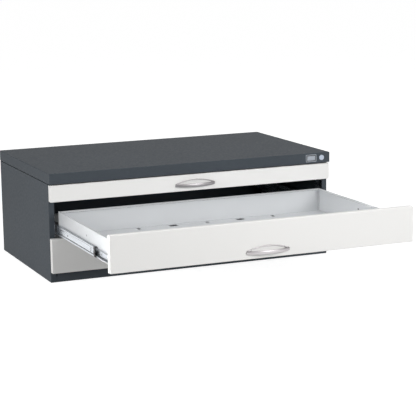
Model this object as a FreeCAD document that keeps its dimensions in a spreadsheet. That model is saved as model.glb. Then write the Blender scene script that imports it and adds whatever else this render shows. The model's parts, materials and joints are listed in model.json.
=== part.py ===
import FreeCAD, Part

import os
from types import SimpleNamespace

import Sketcher

# Flat file cabinet: a steel plan chest with three drawers on ball-bearing telescopic slides.
# Frame: X to the right, Y to the back, Z up. The origin lies on the floor, under the middle of the
# lid. The upper and lower drawers are shut, and the middle one stands fully open.
# All lengths are millimetres.

SIZES = [
    ("width", 1100, "lid, side to side"),
    ("depth", 650, "lid, front to back"),
    ("height", 394, "floor to the top of the lid"),
    ("steel", 1.2, "sheet of the body, the fronts and the slides"),
    ("skin", 1, "sheet of the trays"),
    ("lid_rise", 38, "folded rim of the lid"),
    ("lid_round", 1.5, "rounding of the lid's folds"),
    ("lid_gap", 1.5, "shadow line under the lid's rim"),
    ("side_inset", 1, "body inside the lid's edge"),
    ("flange", 20, "front and rear returns of the side panels"),
    ("plinth_rise", 36, "floor to the lowest drawer front"),
    ("plinth_return", 16, "depth of the plinth rail's top return"),
    ("raster", 64, "height taken by one drawer unit"),
    ("front_gap", 3, "gap between drawer fronts"),
    ("front_thick", 20, "depth of a drawer front"),
    ("front_setback", 2, "drawer front inside the lid's edge, in front and at the sides"),
    ("front_clear", 1, "gap between a shut front and the body"),
    ("front_round", 1.2, "rounding of the front's folds"),
    ("travel", 620, "full travel of a drawer"),
    ("tray_length", 616, "tray, front to back"),
    ("tray_lift", 5, "tray's underside above the front's lower edge"),
    ("single_tray", 46, "height of a tray behind a one-unit front"),
    ("double_tray", 87, "height of a tray behind a two-unit front"),
    ("hem", 8, "width of the folded hem along the tray's rim"),
    ("hem_drop", 4.5, "fall of the sloping hem over its width"),
    ("hem_lip", 1.5, "height of the hem's turned-down lip"),
    ("foot_flange", 8, "flange along the foot of a tray wall, under the floor"),
    ("slide_length", 600, "cabinet member and drawer member"),
    ("slide_inset", 2, "cabinet member behind the body's front plane"),
    ("slide_clear", 1, "cabinet member inside the side flange's edge"),
    ("slide_thick", 12.7, "cabinet member's back to drawer member's back"),
    ("slide_rise", 28, "slide's middle above the front's lower edge"),
    ("middle_length", 590, "intermediate member"),
    ("outer_half", 22.7, "half height of the cabinet member"),
    ("middle_half", 17.4, "half height of the intermediate member"),
    ("inner_half", 12.2, "half height of the drawer member"),
    ("panel_clear", 0.5, "gap between the back panel and each side panel"),
    ("plinth_clear", 2.5, "gap between the plinth rail and each side return"),
    ("rail_flange", 30, "flanges of the channels under the lid"),
    ("upright_width", 40, "slide upright, front to back"),
    ("front_upright", 37, "front upright's middle behind the body's front plane"),
    ("rear_upright", 520, "rear upright's middle behind the body's front plane"),
    ("screw_hole", 2.2, "radius of the screw holes"),
    ("screw_shank", 1.7, "radius of a screw's shank"),
    ("screw_head", 3.5, "radius of a screw's head"),
    ("slide_shank", 8, "length of a cabinet member's screw"),
    ("rear_shank", 6, "length of a back panel's screw"),
    ("handle_shank", 5, "length of a handle's screw"),
    ("rear_screw_edge", 40, "outermost back panel screws from the panel's ends"),
    ("tray_screw_front", 60, "front screw of a drawer member, behind the tray's front"),
    ("tray_screw_rear", 540, "rear screw of a drawer member, behind the tray's front"),
    ("wall_hole", 3, "radius of the hole halfway along a tray side"),
    ("wall_hole_drop", 30, "middle of that hole below the tray's rim"),
    ("flat_head", 0.7, "height of the slide screws' flat heads"),
    ("pan_head", 2.2, "height of the handle screws' heads"),
    ("handle_half", 78, "half length of the handle"),
    ("handle_reach", 26, "handle's bow, out from the front"),
    ("handle_rise", 22.5, "middle of the grip band above the front's lower edge"),
    ("band_rise", 13.5, "height of the grip band"),
    ("band_thick", 4, "thickness of the grip band at its middle"),
    ("foot_width", 9, "width of the band's foot on the front"),
    ("arch_rise", 20.5, "top of the upper rib above the grip band's middle"),
    ("arch_thick", 3.6, "thickness of the upper rib"),
    ("arch_reach", 6, "depth of the upper rib, out from the front"),
    ("boss_half", 64, "half the distance between the handle's screws"),
    ("boss_radius", 5.6, "radius of the handle's screw bosses"),
    ("rib_inset", 0.8, "upper rib's ends inside the band's ends"),
    ("label_width", 44, "blank label plate on the lid's rim"),
    ("label_rise", 28, "height of the label plate"),
    ("label_thick", 0.8, "thickness of the label plate"),
    ("label_round", 3, "radius of the label plate's corners"),
    ("label_place", 472, "label plate's middle to the right of the centre"),
    ("badge_radius", 10, "plain round badge beside the label plate"),
    ("badge_place", 516, "badge's middle to the right of the centre"),
]

# Profile of the slide: distances from the cabinet member's back towards the drawer.
OUTER_DEPTH = 9.0
OUTER_LIP = 3.2
MIDDLE_BACK = 2.2
MIDDLE_DEPTH = 10.4
MIDDLE_LIP = 3.0
INNER_FRONT = 4.6
INNER_LIP = 1.7

# Ball cages: the strips that keep the balls apart between the members.
OUTER_CAGE_LENGTH = 150.0
OUTER_CAGE_RATIO = 0.35
OUTER_STRIP = (1.5, 7.2, 18.6, 20.4)
OUTER_BALL = (4.5, 19.45, 1.7, 5)
INNER_CAGE_LENGTH = 380.0
INNER_CAGE_RATIO = 0.85
INNER_CAGE_LEAD = 4.0
INNER_CAGE_WEB = (3.75, 4.25, 15.4)
INNER_STRIP = (3.75, 9.0, 14.4, 15.4)
INNER_BALL = (7.5, 14.2, 1.5, 7)
MIDDLE_RATIO = 0.7
POCKET_CLEAR = 0.1
POCKET_DEPTH = 4.0

# Openings in an intermediate member's web: distance from its front end, radius.
MIDDLE_HOLES = [(26.0, 3.0), (52.0, 4.5), (300.0, 3.0)]

# Slots in a tray's floor along its rear wall: X, distance from the rear wall, width, depth.
FLOOR_SLOTS = [
    (-224.0, 24.5, 11.0, 25.0),
    (-91.0, 25.0, 30.0, 26.0),
    (42.0, 24.5, 11.0, 25.0),
    (175.0, 25.0, 30.0, 26.0),
    (308.0, 24.5, 11.0, 25.0),
]

LEFT = -1
RIGHT = 1


class Size:
    """A length that carries both its value and its spreadsheet expression."""

    def __init__(self, text, value):
        self.text = text
        self.value = float(value)

    def __add__(self, other):
        other = as_size(other)
        return Size(f"({self.text} + {other.text})", self.value + other.value)

    def __sub__(self, other):
        other = as_size(other)
        return Size(f"({self.text} - {other.text})", self.value - other.value)

    def __mul__(self, other):
        other = as_size(other)
        return Size(f"({self.text} * {other.text})", self.value * other.value)

    def __truediv__(self, other):
        other = as_size(other)
        return Size(f"({self.text} / {other.text})", self.value / other.value)

    def __radd__(self, other):
        return as_size(other) + self

    def __rsub__(self, other):
        return as_size(other) - self

    def __rmul__(self, other):
        return as_size(other) * self

    def __neg__(self):
        return as_size(0) - self


def as_size(number):
    """Plain numbers become sizes too, so that formulas can mix the two."""
    if isinstance(number, Size):
        return number
    return Size(f"{float(number):.6g}" if number >= 0 else f"(0 - {-float(number):.6g})", number)


def make_sheet(doc):
    """The spreadsheet of driving dimensions, and a namespace of sizes that point at its cells."""
    sheet = doc.addObject("Spreadsheet::Sheet", "Sizes")
    for row, (alias, number, meaning) in enumerate(SIZES, start=1):
        sheet.set(f"A{row}", meaning)
        sheet.set(f"B{row}", str(number))
        sheet.setAlias(f"B{row}", alias)
    doc.recompute()
    return SimpleNamespace(**{alias: Size(f"Sizes.{alias}", number) for alias, number, _ in SIZES})


doc = FreeCAD.newDocument("flat_file_cabinet")
s = make_sheet(doc)
nodes = {}

# Planes and faces that the pieces share.
lid_front = -s.depth / 2
lid_bottom = s.height - s.lid_rise
body_top = lid_bottom - s.lid_gap
front_face = lid_front + s.front_setback
front_rear = front_face + s.front_thick
body_front = front_rear + s.front_clear
body_rear = s.depth / 2 - s.side_inset
side_outer = s.width / 2 - s.side_inset
side_inner = side_outer - s.steel
opening_half = side_outer - s.flange
slide_back = opening_half - s.slide_clear
tray_half = slide_back - s.slide_thick
tray_front = front_rear
tray_rear = tray_front + s.tray_length
slide_front = body_front + s.slide_inset
front_upright_y = body_front + s.front_upright
rear_upright_y = body_front + s.rear_upright

# Each drawer: name, units below it, units high, 1 where it stands open.
DRAWERS = [
    ("upper", 4, 1, 0),
    ("middle", 2, 2, 1),
    ("lower", 0, 2, 0),
]


def bind(thing, path, size):
    """Tie a property to its spreadsheet expression."""
    thing.setExpression(path, as_size(size).text)


def place(thing, x, y, z):
    """Put an object at a point whose coordinates follow the spreadsheet."""
    bind(thing, "Placement.Base.x", x)
    bind(thing, "Placement.Base.y", y)
    bind(thing, "Placement.Base.z", z)


def keep(thing, node):
    """Name a finished sub-part, which also names its file."""
    thing.Label = node
    nodes[node] = thing
    return thing


def new_sketch(body, name, role, offset):
    """A sketch on one of the body's own origin planes, offset along that plane's normal."""
    plane = [feature for feature in body.Origin.OriginFeatures if feature.Role == role][0]
    sketch = body.newObject("Sketcher::SketchObject", f"{body.Name}_{name}")
    sketch.AttachmentSupport = [(plane, "")]
    sketch.MapMode = "FlatFace"
    bind(sketch, "AttachmentOffset.Base.z", offset)
    return sketch


def fix_point(sketch, geometry, vertex, point):
    """Hold a vertex at coordinates that follow the spreadsheet."""
    for kind, coordinate in zip(("DistanceX", "DistanceY"), point):
        coordinate = as_size(coordinate)
        rule = Sketcher.Constraint(kind, -1, 1, geometry, vertex, coordinate.value)
        bind(sketch, f"Constraints[{sketch.addConstraint(rule)}]", coordinate)


def vector(point):
    """A sketch point as a FreeCAD vector."""
    return FreeCAD.Vector(as_size(point[0]).value, as_size(point[1]).value, 0)


def draw_polygon(sketch, points):
    """A closed outline of straight lines through the given points."""
    first = sketch.GeometryCount
    count = len(points)
    for index in range(count):
        line = Part.LineSegment(vector(points[index]), vector(points[(index + 1) % count]))
        sketch.addGeometry(line, False)
    for index in range(count):
        following = first + (index + 1) % count
        sketch.addConstraint(Sketcher.Constraint("Coincident", first + index, 2, following, 1))
        fix_point(sketch, first + index, 1, points[index])


def draw_rectangle(sketch, left, right, bottom, top):
    """A rectangle between two pairs of coordinates."""
    draw_polygon(sketch, [(left, bottom), (right, bottom), (right, top), (left, top)])


def draw_circle(sketch, centre, radius):
    """A circle with its centre and radius tied to the spreadsheet."""
    radius = as_size(radius)
    circle = Part.Circle(vector(centre), FreeCAD.Vector(0, 0, 1), radius.value)
    index = sketch.addGeometry(circle, False)
    rule = Sketcher.Constraint("Radius", index, radius.value)
    bind(sketch, f"Constraints[{sketch.addConstraint(rule)}]", radius)
    fix_point(sketch, index, 3, centre)


def draw_crescent(sketch, outer_half, outer_rise, inner_half, inner_rise, foot, upward):
    """Two bowed arcs over one chord, joined by a straight foot at each end."""
    ends = []
    for half, rise in ((outer_half, outer_rise), (inner_half, inner_rise)):
        start = (-half, foot)
        finish = (half, foot)
        crown = (as_size(0), foot + upward * rise)
        arc = Part.Arc(vector(start), vector(crown), vector(finish))
        index = sketch.addGeometry(arc, False)
        bow = (half * half + rise * rise) / (2 * rise)
        rule = Sketcher.Constraint("Radius", index, bow.value)
        bind(sketch, f"Constraints[{sketch.addConstraint(rule)}]", bow)
        # An arc always runs anticlockwise, so one that bows up starts at its right-hand end.
        left_vertex, right_vertex = (2, 1) if upward > 0 else (1, 2)
        fix_point(sketch, index, left_vertex, start)
        rule = Sketcher.Constraint("DistanceX", -1, 1, index, right_vertex, half.value)
        bind(sketch, f"Constraints[{sketch.addConstraint(rule)}]", half)
        rule = Sketcher.Constraint("Horizontal", index, left_vertex, index, right_vertex)
        sketch.addConstraint(rule)
        ends.append((index, left_vertex, right_vertex))
    (outer, outer_left, outer_right), (inner, inner_left, inner_right) = ends
    for x_sign, outer_vertex, inner_vertex in ((-1, outer_left, inner_left), (1, outer_right, inner_right)):
        line = Part.LineSegment(vector((x_sign * outer_half, foot)), vector((x_sign * inner_half, foot)))
        index = sketch.addGeometry(line, False)
        sketch.addConstraint(Sketcher.Constraint("Coincident", index, 1, outer, outer_vertex))
        sketch.addConstraint(Sketcher.Constraint("Coincident", index, 2, inner, inner_vertex))


def pad(body, name, sketch, length):
    """Extrude a sketch along its plane's normal."""
    feature = body.newObject("PartDesign::Pad", f"{body.Name}_{name}")
    feature.Profile = sketch
    bind(feature, "Length", length)
    return feature


def hollow(body, name, sketch, length):
    """Cut a sketch out along its plane's normal."""
    feature = body.newObject("PartDesign::Pocket", f"{body.Name}_{name}")
    feature.Profile = sketch
    feature.Reversed = True
    bind(feature, "Length", length)
    return feature


def punch(body, name, sketch, length):
    """Cut a sketch out to both sides of its plane."""
    feature = body.newObject("PartDesign::Pocket", f"{body.Name}_{name}")
    feature.Profile = sketch
    feature.SideType = "Symmetric"
    bind(feature, "Length", length)
    return feature


def folded_sheet(name, role, points, start, length):
    """A folded sheet: one profile extruded along the plane's normal."""
    body = doc.addObject("PartDesign::Body", name)
    sketch = new_sketch(body, "profile", role, start)
    draw_polygon(sketch, points)
    pad(body, "pad", sketch, length)
    return body


def round_edges(body, radius, wanted):
    """Round the edges of the body's last feature that a test picks out."""
    doc.recompute()
    base = body.Tip
    names = [f"Edge{index}" for index, edge in enumerate(base.Shape.Edges, start=1) if wanted(edge)]
    fillet = body.newObject("PartDesign::Fillet", f"{body.Name}_rounding")
    fillet.Base = (base, names)
    bind(fillet, "Radius", radius)


def primitive(kind, name, **sizes):
    """A Part primitive whose properties follow the spreadsheet."""
    thing = doc.addObject(kind, name)
    for label, size in sizes.items():
        bind(thing, label, size)
    return thing


def group(name, members):
    """Identical separate pieces that share one node."""
    compound = doc.addObject("Part::Compound", name)
    compound.Links = members
    return compound


# ---------------------------------------------------------------- cabinet body


def make_lid():
    """Top plate: a shallow pan of sheet steel, upside down, with rounded folds."""
    body = doc.addObject("PartDesign::Body", "top_plate")
    sketch = new_sketch(body, "outline", "XY_Plane", lid_bottom)
    draw_rectangle(sketch, -s.width / 2, s.width / 2, lid_front, s.depth / 2)
    pad(body, "pad", sketch, s.lid_rise)
    round_edges(body, s.lid_round, lambda edge: edge.BoundBox.ZMax > lid_bottom.value + 1)
    sketch = new_sketch(body, "inside", "XY_Plane", lid_bottom)
    reach = s.width / 2 - s.steel
    draw_rectangle(sketch, -reach, reach, lid_front + s.steel, s.depth / 2 - s.steel)
    hollow(body, "hollow", sketch, s.lid_rise - s.steel)
    keep(body, "top_plate")


def rear_screw_heights():
    """Heights of the screws that hold the back panel."""
    return [s.rear_screw_edge, body_top / 2, body_top - s.rear_screw_edge]


def make_side_panel(name, side):
    """Side panel: a web with a return along its front and rear edges, standing on the floor."""
    inner_edge = side * opening_half
    points = [
        (side * side_outer, body_front),
        (side * side_outer, body_rear),
        (inner_edge, body_rear),
        (inner_edge, body_rear - s.steel),
        (side * side_inner, body_rear - s.steel),
        (side * side_inner, body_front + s.steel),
        (inner_edge, body_front + s.steel),
        (inner_edge, body_front),
    ]
    body = folded_sheet(name, "XY_Plane", points, 0, body_top)
    sketch = new_sketch(body, "rear_holes", "XZ_Plane", -body_rear)
    for height in rear_screw_heights():
        draw_circle(sketch, (side * (side_outer - s.flange / 2), height), s.screw_hole)
    punch(body, "rear_punch", sketch, 3 * s.steel)
    keep(body, name)


def make_back_panel():
    """Back panel: a flat sheet inside the side panels' rear returns."""
    back = body_rear - s.steel
    body = doc.addObject("PartDesign::Body", "back_panel")
    sketch = new_sketch(body, "outline", "XZ_Plane", -back)
    half = side_inner - s.panel_clear
    draw_rectangle(sketch, -half, half, s.steel, body_top)
    pad(body, "pad", sketch, s.steel)
    sketch = new_sketch(body, "holes", "XZ_Plane", -back)
    for side in (LEFT, RIGHT):
        for height in rear_screw_heights():
            draw_circle(sketch, (side * (side_outer - s.flange / 2), height), s.screw_hole)
    punch(body, "punch", sketch, 3 * s.steel)
    keep(body, "back_panel")


def make_base_panel():
    """Base panel: the sheet that lies on the floor, folded up at the front and the rear."""
    front = body_front + s.steel
    rear = body_rear - 2 * s.steel
    fold = s.flange
    points = [
        (front, 0),
        (rear, 0),
        (rear, fold),
        (rear - s.steel, fold),
        (rear - s.steel, s.steel),
        (front + s.steel, s.steel),
        (front + s.steel, fold),
        (front, fold),
    ]
    body = folded_sheet("base_panel", "YZ_Plane", points, -side_inner, 2 * side_inner)
    keep(body, "base_panel")


def make_plinth_rail():
    """Plinth rail: closes the body below the lowest drawer, between the side returns."""
    top = s.plinth_rise - s.front_gap / 2
    points = [
        (body_front, 0),
        (body_front, top),
        (body_front + s.plinth_return, top),
        (body_front + s.plinth_return, top - s.steel),
        (body_front + s.steel, top - s.steel),
        (body_front + s.steel, 0),
    ]
    half = opening_half - s.plinth_clear
    body = folded_sheet("plinth_rail", "YZ_Plane", points, -half, 2 * half)
    keep(body, "plinth_rail")


def make_top_rail(name, web, inward):
    """A channel between the side panels that carries the lid; inward is +1 towards the back."""
    top = s.height - s.steel
    reach = web + inward * s.rail_flange
    inside = web + inward * s.steel
    points = [
        (web, body_top),
        (reach, body_top),
        (reach, body_top + s.steel),
        (inside, body_top + s.steel),
        (inside, top - s.steel),
        (reach, top - s.steel),
        (reach, top),
        (web, top),
    ]
    return folded_sheet(name, "YZ_Plane", points, -side_inner, 2 * side_inner)


def make_top_rails():
    """Two like channels under the lid, front and rear."""
    front = make_top_rail("front_top_rail", body_front + s.steel, 1)
    rear = make_top_rail("rear_top_rail", body_rear - s.steel, -1)
    keep(group("top_rail_pair", [front, rear]), "top_rails")


def slide_height(units_below):
    """Middle of a drawer's slides above the floor."""
    return s.plinth_rise + s.raster * units_below + s.slide_rise


def make_upright(name, side, middle):
    """A channel on the side panel that the slides are screwed to."""
    back = side * side_inner
    face = side * slide_back
    inside = side * (slide_back + s.steel)
    front = middle - s.upright_width / 2
    rear = middle + s.upright_width / 2
    points = [
        (back, front),
        (face, front),
        (face, rear),
        (back, rear),
        (back, rear - s.steel),
        (inside, rear - s.steel),
        (inside, front + s.steel),
        (back, front + s.steel),
    ]
    body = folded_sheet(name, "XY_Plane", points, s.steel, body_top - 2 * s.steel)
    sketch = new_sketch(body, "holes", "YZ_Plane", face)
    for _, units_below, _, _ in DRAWERS:
        draw_circle(sketch, (middle, slide_height(units_below)), s.screw_hole)
    punch(body, "punch", sketch, 3 * s.steel)
    return body


def make_uprights(name, side):
    """Front and rear slide uprights of one side."""
    front = make_upright(f"{name}_front", side, front_upright_y)
    rear = make_upright(f"{name}_rear", side, rear_upright_y)
    keep(group(f"{name}_pair", [front, rear]), name)


def make_label():
    """A blank label plate with rounded corners on the lid's rim."""
    body = doc.addObject("PartDesign::Body", "front_label")
    sketch = new_sketch(body, "outline", "XZ_Plane", -lid_front)
    middle = lid_bottom + s.lid_rise / 2
    draw_rectangle(
        sketch,
        s.label_place - s.label_width / 2,
        s.label_place + s.label_width / 2,
        middle - s.label_rise / 2,
        middle + s.label_rise / 2,
    )
    pad(body, "pad", sketch, s.label_thick)
    round_edges(body, s.label_round, lambda edge: edge.Length < 1)
    keep(body, "front_label")


def make_badge():
    """A plain round badge beside the label plate."""
    body = doc.addObject("PartDesign::Body", "round_badge")
    sketch = new_sketch(body, "outline", "XZ_Plane", -lid_front)
    draw_circle(sketch, (s.badge_place, lid_bottom + s.lid_rise / 2), s.badge_radius)
    pad(body, "pad", sketch, s.label_thick)
    keep(body, "round_badge")


def make_screw(name, head, shank, where, turn):
    """A screw: its head lies behind the seat and its shank runs along local +Z."""
    cap = primitive("Part::Cylinder", f"{name}_head", Radius=s.screw_head, Height=head)
    bind(cap, "Placement.Base.z", -as_size(head))
    stem = primitive("Part::Cylinder", f"{name}_shank", Radius=s.screw_shank, Height=shank)
    screw = doc.addObject("Part::MultiFuse", name)
    screw.Shapes = [cap, stem]
    screw.Placement = FreeCAD.Placement(FreeCAD.Vector(), turn)
    place(screw, *where)
    return screw


TURN_TO_RIGHT = FreeCAD.Rotation(FreeCAD.Vector(0, 1, 0), 90)
TURN_TO_LEFT = FreeCAD.Rotation(FreeCAD.Vector(0, 1, 0), -90)
TURN_TO_FRONT = FreeCAD.Rotation(FreeCAD.Vector(1, 0, 0), 90)


def make_body_screws():
    """Screws of the cabinet members and of the back panel."""
    screws = []
    for side in (LEFT, RIGHT):
        turn = TURN_TO_LEFT if side == LEFT else TURN_TO_RIGHT
        for drawer, units_below, _, _ in DRAWERS:
            for end, middle in (("front", front_upright_y), ("rear", rear_upright_y)):
                seat = side * (slide_back - s.steel)
                where = (seat, middle, slide_height(units_below))
                name = f"{drawer}_{end}_slide_screw_{'left' if side == LEFT else 'right'}"
                screws.append(make_screw(name, s.flat_head, s.slide_shank, where, turn))
        for index, height in enumerate(rear_screw_heights()):
            where = (side * (side_outer - s.flange / 2), body_rear, height)
            name = f"rear_screw_{'left' if side == LEFT else 'right'}_{index}"
            screws.append(make_screw(name, s.flat_head, s.rear_shank, where, TURN_TO_FRONT))
    keep(group("body_screw_set", screws), "body_screws")


# ---------------------------------------------------------------- slides


def mirror_profile(side, profile):
    """A slide profile, distance from the back and height, turned into X and Z on one side."""
    return [(side * (slide_back - depth), height) for depth, height in profile]


def outer_profile():
    """Cabinet member: a channel open towards the drawer, with lips along its edges."""
    half = s.outer_half
    inside = half - s.steel
    lip = half - OUTER_LIP
    throat = OUTER_DEPTH - s.steel
    upper = [
        (throat, inside), (throat, lip), (as_size(OUTER_DEPTH), lip), (as_size(OUTER_DEPTH), half),
    ]
    lower = [(depth, -height) for depth, height in reversed(upper)]
    return [(as_size(0), half), (as_size(0), -half)] + lower + [(s.steel, -inside), (s.steel, inside)] + upper


def middle_profile():
    """Intermediate member: a smaller channel inside the first, open the same way."""
    half = s.middle_half
    inside = half - s.steel
    lip = half - MIDDLE_LIP
    back = as_size(MIDDLE_BACK)
    deep = as_size(MIDDLE_DEPTH)
    throat = deep - s.steel
    upper = [(throat, inside), (throat, lip), (deep, lip), (deep, half)]
    lower = [(depth, -height) for depth, height in reversed(upper)]
    web = [(back + s.steel, -inside), (back + s.steel, inside)]
    return [(back, half), (back, -half)] + lower + web + upper


def inner_profile():
    """Drawer member: a channel open towards the cabinet, with its lips turned outwards."""
    half = s.inner_half
    inside = half - s.steel
    lip = half + INNER_LIP
    back = s.slide_thick
    edge = as_size(INNER_FRONT)
    upper = [(edge + s.steel, half), (edge + s.steel, lip), (edge, lip), (edge, inside)]
    lower = [(depth, -height) for depth, height in reversed(upper)]
    web = [(back - s.steel, inside), (back - s.steel, -inside)]
    return [(back, -half), (back, half)] + upper + web + lower


def make_member(name, side, profile, front, length, where, holes, web):
    """One telescopic member; holes are (y, z, radius) through its web at depth web."""
    body = folded_sheet(name, "XZ_Plane", mirror_profile(side, profile), -(front + length), length)
    sketch = new_sketch(body, "holes", "YZ_Plane", side * (slide_back - web))
    for y, z, radius in holes:
        draw_circle(sketch, (y, z), radius)
    punch(body, "punch", sketch, 2 * s.steel)
    place(body, *where)
    keep(body, name)


def make_outer_members(drawer, height):
    """Cabinet members of one drawer, screwed to the uprights."""
    holes = [(front_upright_y, 0, s.screw_hole), (rear_upright_y, 0, s.screw_hole)]
    for word, side in (("left", LEFT), ("right", RIGHT)):
        name = f"{drawer}_{word}_outer_member"
        where = (0, 0, height)
        make_member(name, side, outer_profile(), slide_front, s.slide_length, where, holes, s.steel / 2)


def make_middle_members(drawer, height, shift):
    """Intermediate members, with two openings in the web near the front end."""
    holes = [(slide_front + along, 0, radius) for along, radius in MIDDLE_HOLES]
    web = MIDDLE_BACK + s.steel / 2
    for word, side in (("left", LEFT), ("right", RIGHT)):
        name = f"{drawer}_{word}_middle_member"
        where = (0, shift * -MIDDLE_RATIO, height)
        make_member(name, side, middle_profile(), slide_front, s.middle_length, where, holes, web)


def tray_screw_places():
    """Distances of the drawer members' screws along Y, on the shut drawer."""
    return [tray_front + s.tray_screw_front, tray_front + s.tray_screw_rear]


def make_inner_members(drawer, height, shift):
    """Drawer members, screwed to the tray's sides."""
    holes = [(y, 0, s.screw_hole) for y in tray_screw_places()]
    web = s.slide_thick - s.steel / 2
    for word, side in (("left", LEFT), ("right", RIGHT)):
        name = f"{drawer}_{word}_inner_member"
        where = (0, -shift, height)
        make_member(name, side, inner_profile(), tray_front, s.slide_length, where, holes, web)


def strip_box(name, side, near, far, low, high, front, length):
    """A box of a ball cage, between two depths of the slide and two heights."""
    edge = slide_back - far if side == RIGHT else -(slide_back - near)
    box = primitive("Part::Box", name, Length=far - near, Width=length, Height=high - low)
    place(box, edge, front, low)
    return box


def ball_rows(name, side, ball, front, length, radius_extra, kind):
    """Balls, or the round pockets that hold them, along the two races of one slide."""
    depth, race, radius, count = ball
    pitch = length / (count + 1)
    things = []
    for row, sign in (("top", 1), ("bottom", -1)):
        for index in range(count):
            x = side * (slide_back - depth)
            y = front + pitch * (index + 1)
            label = f"{name}_{row}_{index}"
            if kind == "ball":
                thing = primitive("Part::Sphere", label, Radius=radius)
                place(thing, x, y, sign * race)
            else:
                thing = primitive("Part::Cylinder", label, Radius=radius + radius_extra, Height=POCKET_DEPTH)
                place(thing, x, y, sign * race - POCKET_DEPTH / 2)
            things.append(thing)
    return things


def cut_pockets(name, base, pockets):
    """A cage blank with its ball pockets cut out."""
    tool = group(f"{name}_pockets", pockets)
    cut = doc.addObject("Part::Cut", name)
    cut.Base = base
    cut.Tool = tool
    return cut


def make_outer_cages(drawer, height, shift):
    """Cages and balls between the cabinet members and the intermediate members."""
    front = body_front + travel_share(OUTER_CAGE_RATIO)
    pieces = []
    for word, side in (("left", LEFT), ("right", RIGHT)):
        near, far, low, high = OUTER_STRIP
        stem = f"{drawer}_{word}_outer_cage"
        for row, bottom in (("top", low), ("bottom", -high)):
            box = strip_box(f"{stem}_{row}_blank", side, near, far, bottom, bottom + high - low, front,
                            OUTER_CAGE_LENGTH)
            rows = ball_rows(f"{stem}_{row}_hole", side, OUTER_BALL, front, OUTER_CAGE_LENGTH,
                             POCKET_CLEAR, "pocket")
            pieces.append(cut_pockets(f"{stem}_{row}", box, rows))
        pieces += ball_rows(f"{stem}_ball", side, OUTER_BALL, front, OUTER_CAGE_LENGTH, 0, "ball")
    cages = group(f"{drawer}_outer_cage_set", pieces)
    place(cages, 0, shift * -OUTER_CAGE_RATIO, height)
    keep(cages, f"{drawer}_outer_ball_cages")


def travel_share(ratio):
    """How far a piece that follows the drawer at a ratio moves over the whole travel."""
    return s.travel * ratio


def make_inner_cages(drawer, height, shift):
    """Cages and balls between the intermediate members and the drawer members."""
    front = slide_front - travel_share(MIDDLE_RATIO) + travel_share(INNER_CAGE_RATIO) - INNER_CAGE_LEAD
    pieces = []
    for word, side in (("left", LEFT), ("right", RIGHT)):
        near, far, web_half = INNER_CAGE_WEB
        stem = f"{drawer}_{word}_inner_cage"
        web = strip_box(f"{stem}_web", side, near, far, -web_half, web_half, front, INNER_CAGE_LENGTH)
        near, far, low, high = INNER_STRIP
        top = strip_box(f"{stem}_top", side, near, far, low, high, front, INNER_CAGE_LENGTH)
        bottom = strip_box(f"{stem}_bottom", side, near, far, -high, -low, front, INNER_CAGE_LENGTH)
        blank = doc.addObject("Part::MultiFuse", f"{stem}_blank")
        blank.Shapes = [web, top, bottom]
        blank.Refine = True
        rows = ball_rows(f"{stem}_hole", side, INNER_BALL, front, INNER_CAGE_LENGTH, POCKET_CLEAR, "pocket")
        pieces.append(cut_pockets(stem, blank, rows))
        pieces += ball_rows(f"{stem}_ball", side, INNER_BALL, front, INNER_CAGE_LENGTH, 0, "ball")
    cages = group(f"{drawer}_inner_cage_set", pieces)
    place(cages, 0, shift * -INNER_CAGE_RATIO, height)
    keep(cages, f"{drawer}_inner_ball_cages")


# ---------------------------------------------------------------- drawers


def make_front_panel(drawer, rise, where):
    """Drawer front: a pan of sheet steel, open at the back, with rounded folds."""
    body = doc.addObject("PartDesign::Body", f"{drawer}_front_panel")
    half = s.width / 2 - s.front_setback
    sketch = new_sketch(body, "outline", "XZ_Plane", -front_rear)
    draw_rectangle(sketch, -half, half, 0, rise)
    pad(body, "pad", sketch, s.front_thick)
    round_edges(body, s.front_round, lambda edge: edge.BoundBox.YMin < front_rear.value - 1)
    sketch = new_sketch(body, "inside", "XZ_Plane", -front_rear)
    inner = half - s.steel
    draw_rectangle(sketch, -inner, inner, s.steel, rise - s.steel)
    hollow(body, "hollow", sketch, s.front_thick - s.steel)
    sketch = new_sketch(body, "holes", "XZ_Plane", -front_face)
    for side in (LEFT, RIGHT):
        draw_circle(sketch, (side * s.boss_half, s.handle_rise), s.screw_hole)
    punch(body, "punch", sketch, 3 * s.steel)
    place(body, *where)
    keep(body, f"{drawer}_front_panel")


def make_front_liner(drawer, rise, where):
    """Liner: the sheet that closes the front's back and carries the tray."""
    body = doc.addObject("PartDesign::Body", f"{drawer}_front_liner")
    half = s.width / 2 - s.front_setback - s.steel
    sketch = new_sketch(body, "outline", "XZ_Plane", -front_rear)
    draw_rectangle(sketch, -half, half, s.steel, rise - s.steel)
    pad(body, "pad", sketch, s.skin)
    place(body, *where)
    keep(body, f"{drawer}_front_liner")


def make_tray_floor(drawer, where):
    """Tray floor: a flat sheet on the walls' foot flanges, with slots along the rear wall."""
    body = doc.addObject("PartDesign::Body", f"{drawer}_tray_floor")
    half = tray_half - s.skin
    sketch = new_sketch(body, "outline", "XY_Plane", s.skin)
    draw_rectangle(sketch, -half, half, tray_front, tray_rear - s.skin)
    pad(body, "pad", sketch, s.skin)
    sketch = new_sketch(body, "slots", "XY_Plane", s.skin)
    for x, inset, across, along in FLOOR_SLOTS:
        middle = tray_rear - inset
        draw_rectangle(sketch, x - across / 2, x + across / 2, middle - along / 2, middle + along / 2)
    punch(body, "punch", sketch, 4 * s.skin)
    place(body, *where)
    keep(body, f"{drawer}_tray_floor")


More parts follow.
